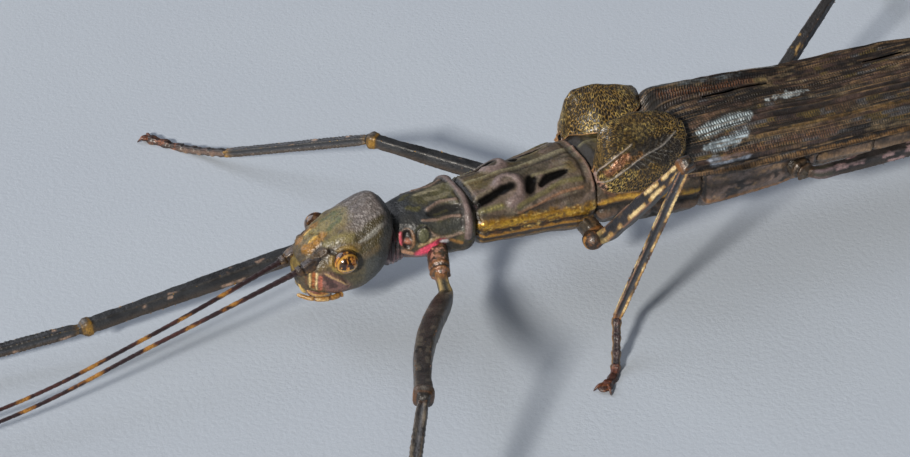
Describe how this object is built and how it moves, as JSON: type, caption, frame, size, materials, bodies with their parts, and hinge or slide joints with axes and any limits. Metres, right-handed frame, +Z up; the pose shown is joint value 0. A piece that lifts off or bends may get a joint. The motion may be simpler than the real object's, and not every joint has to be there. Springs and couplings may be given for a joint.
{
  "type": "giant stick insect",
  "caption": "Large winged stick insect, standing still on thin legs, with long antennae reaching forward and folded wings over a slender abdomen.",
  "frame": {"origin": "on the floor that the feet stand on, under the middle of the bounding box of the whole insect", "axes": "+X runs from the head to the tail, so the head looks to -X; +Y is the insect's right side; +Z is up"},
  "size_m": [0.2928, 0.1907, 0.0368],
  "materials": {
    "olive_cuticle": "hard satin insect cuticle, olive to grey brown",
    "brown_abdomen_cuticle": "satin pinkish brown cuticle with dark flecks",
    "dark_limb_cuticle": "satin dark grey brown cuticle with pale patches",
    "red_brown_foot_cuticle": "satin red brown cuticle",
    "antenna_cuticle": "satin dark red brown cuticle with golden bands",
    "eye_lens": "glossy copper gold lens with dark stripes",
    "mouthpart_cuticle": "glossy red brown cuticle",
    "tegmen_membrane": "satin leathery wing case with raised golden veins",
    "folded_wing_membrane": "satin folded membrane with close cross veins"
  },
  "bodies": {
    "root": {"head": "olive_cuticle", "neck": "olive_cuticle", "prothorax": "olive_cuticle", "mesothorax": "olive_cuticle", "metathorax": "olive_cuticle", "median_segment": "olive_cuticle", "abdomen_2": "brown_abdomen_cuticle", "abdomen_3": "brown_abdomen_cuticle", "abdomen_4": "brown_abdomen_cuticle", "abdomen_5": "brown_abdomen_cuticle", "abdomen_6": "brown_abdomen_cuticle", "abdomen_7": "brown_abdomen_cuticle", "abdomen_tip": "brown_abdomen_cuticle", "subgenital_plate": "brown_abdomen_cuticle", "cercus_left": "brown_abdomen_cuticle", "cercus_right": "brown_abdomen_cuticle", "eye_left": "eye_lens", "mandible_left": "mouthpart_cuticle", "palps_left": "mouthpart_cuticle", "antenna_base_left": "antenna_cuticle", "antenna_left": "antenna_cuticle", "tegmen_left": "tegmen_membrane", "hindwing_left": "folded_wing_membrane", "coxa_fore_left": "olive_cuticle", "femur_fore_left": "dark_limb_cuticle", "tibia_fore_left": "dark_limb_cuticle", "tarsus_fore_left": "red_brown_foot_cuticle", "coxa_mid_left": "olive_cuticle", "femur_mid_left": "dark_limb_cuticle", "tibia_mid_left": "dark_limb_cuticle", "tarsus_mid_left": "red_brown_foot_cuticle", "coxa_hind_left": "olive_cuticle", "femur_hind_left": "dark_limb_cuticle", "tibia_hind_left": "dark_limb_cuticle", "tarsus_hind_left": "red_brown_foot_cuticle", "eye_right": "eye_lens", "mandible_right": "mouthpart_cuticle", "palps_right": "mouthpart_cuticle", "antenna_base_right": "antenna_cuticle", "antenna_right": "antenna_cuticle", "tegmen_right": "tegmen_membrane", "hindwing_right": "folded_wing_membrane", "coxa_fore_right": "olive_cuticle", "femur_fore_right": "dark_limb_cuticle", "tibia_fore_right": "dark_limb_cuticle", "tarsus_fore_right": "red_brown_foot_cuticle", "coxa_mid_right": "olive_cuticle", "femur_mid_right": "dark_limb_cuticle", "tibia_mid_right": "dark_limb_cuticle", "tarsus_mid_right": "red_brown_foot_cuticle", "coxa_hind_right": "olive_cuticle", "femur_hind_right": "dark_limb_cuticle", "tibia_hind_right": "dark_limb_cuticle", "tarsus_hind_right": "red_brown_foot_cuticle", "labrum": "mouthpart_cuticle"}
  },
  "joints": []
}
